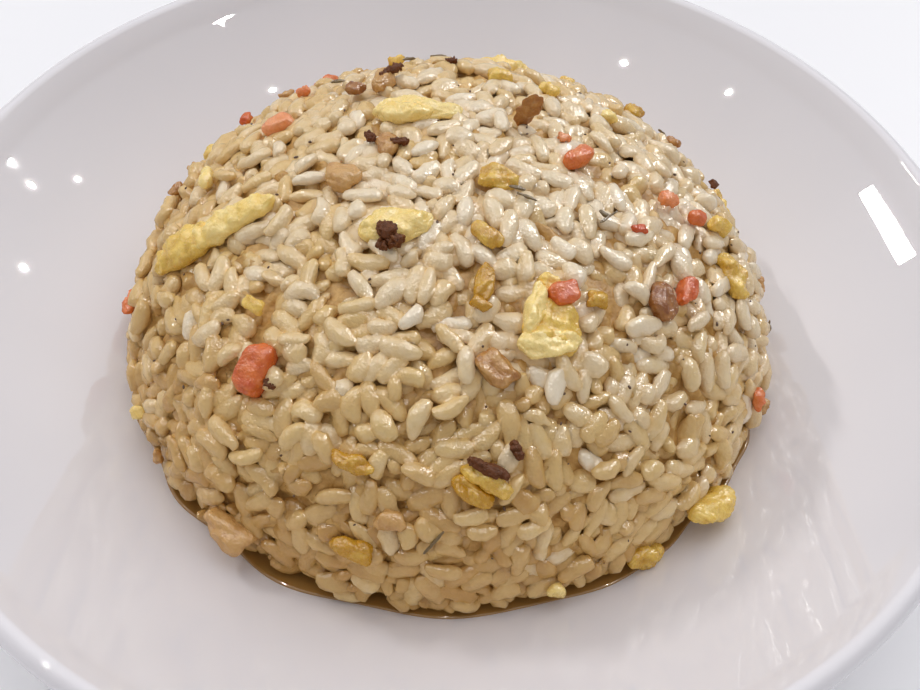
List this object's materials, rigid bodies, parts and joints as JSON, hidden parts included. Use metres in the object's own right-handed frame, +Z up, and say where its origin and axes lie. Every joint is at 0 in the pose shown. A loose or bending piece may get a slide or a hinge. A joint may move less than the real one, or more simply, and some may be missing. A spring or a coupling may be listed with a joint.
{
  "type": "fried rice plate",
  "caption": "Dome of fried rice with egg, carrot and meat pieces, turned out of a bowl onto a deep round white coupe plate.",
  "frame": {"origin": "middle of the plate's foot, on the surface that it stands on", "axes": "+Z up; -Y towards the side that the heap is seen from; +X to the right of that view"},
  "size_m": [0.2016, 0.2016, 0.0628],
  "materials": {
    "porcelain": "gloss",
    "rice": "satin",
    "egg": "satin",
    "carrot": "satin",
    "meat": "satin"
  },
  "bodies": {
    "root": {"plate": "porcelain", "rice_heap": "rice", "egg_crown": "egg", "egg_charred_top": "egg", "egg_strip": "egg", "egg_fold": "egg", "egg_wedge": "egg", "egg_sliver": "egg", "egg_right_shoulder": "egg", "egg_front_left": "egg", "egg_charred_front": "egg", "egg_front_low": "egg", "egg_skirt_right": "egg", "egg_foot_right": "egg", "egg_back": "egg", "egg_back_low": "egg", "carrot_chunk": "carrot", "carrot_left_shoulder": "carrot", "carrot_top": "carrot", "carrot_on_egg": "carrot", "carrot_right": "carrot", "carrot_back": "carrot", "meat_flake": "meat", "meat_oval": "meat", "meat_tan_top": "meat", "meat_foot_left": "meat", "meat_middle": "meat", "meat_edged_top": "meat", "meat_strip_back": "meat", "meat_back": "meat"}
  },
  "joints": []
}
